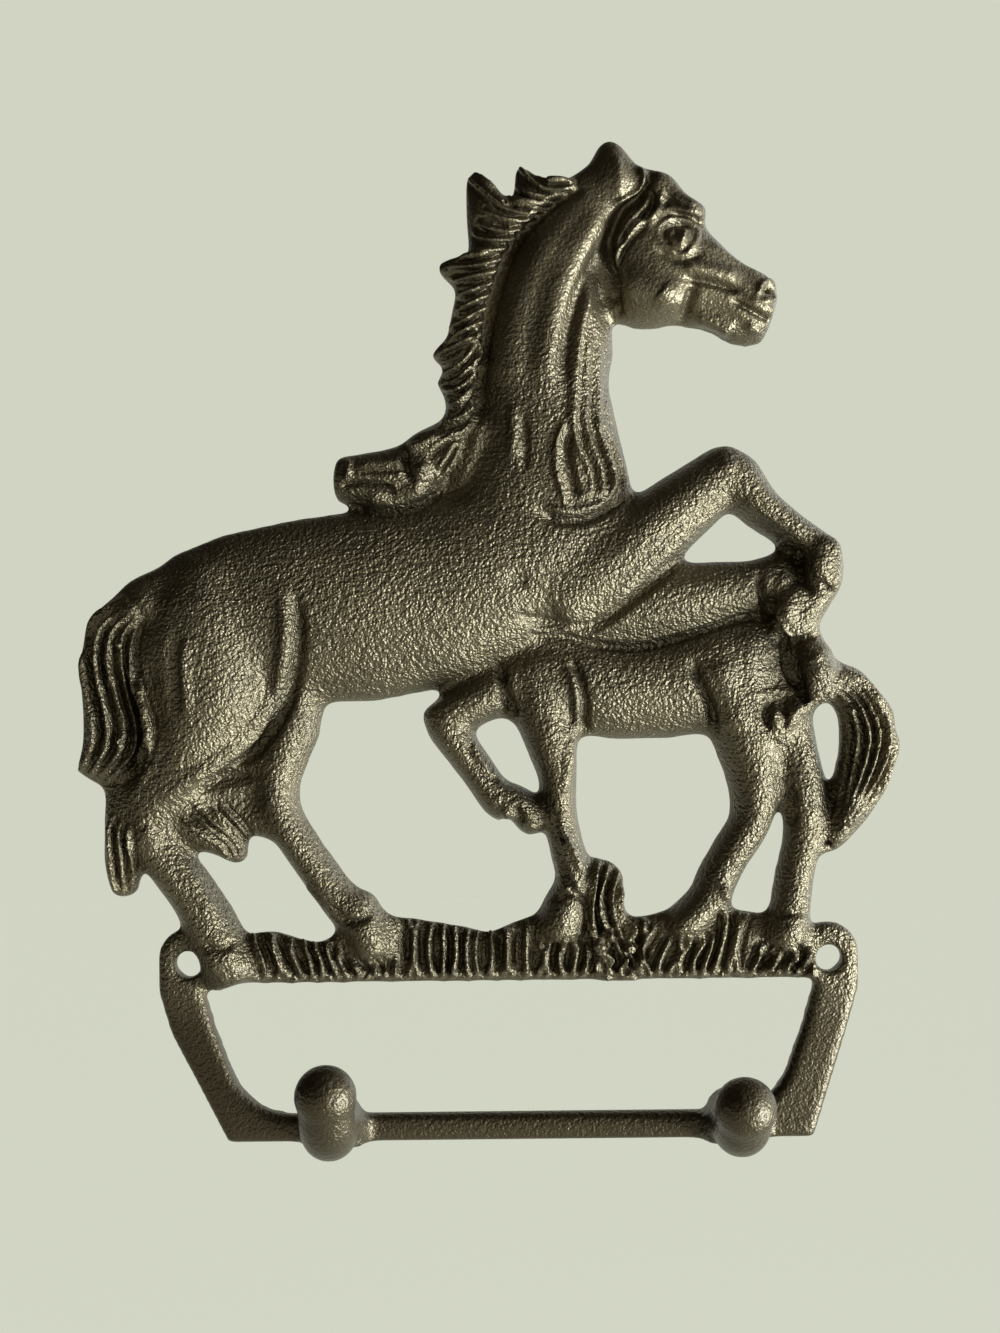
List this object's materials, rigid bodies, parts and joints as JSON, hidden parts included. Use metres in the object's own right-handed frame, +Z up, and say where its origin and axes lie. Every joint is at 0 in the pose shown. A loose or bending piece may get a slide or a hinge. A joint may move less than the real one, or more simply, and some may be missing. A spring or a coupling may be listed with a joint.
{
  "type": "cast iron wall hook",
  "caption": "Cast iron wall hook: a rearing mare and her foal in half relief on grass, over a flat frame with drilled ears and stub hooks.",
  "frame": {"origin": "on the wall plane, midway between the two screw holes", "axes": "+X to the right along the wall, +Y into the wall, +Z up; the front faces -Y"},
  "size_m": [0.1825, 0.0307, 0.2211],
  "materials": {
    "cast_iron": "dark brown satin over a grainy sand cast skin"
  },
  "bodies": {
    "root": {"hook_casting": "cast_iron"}
  },
  "joints": []
}
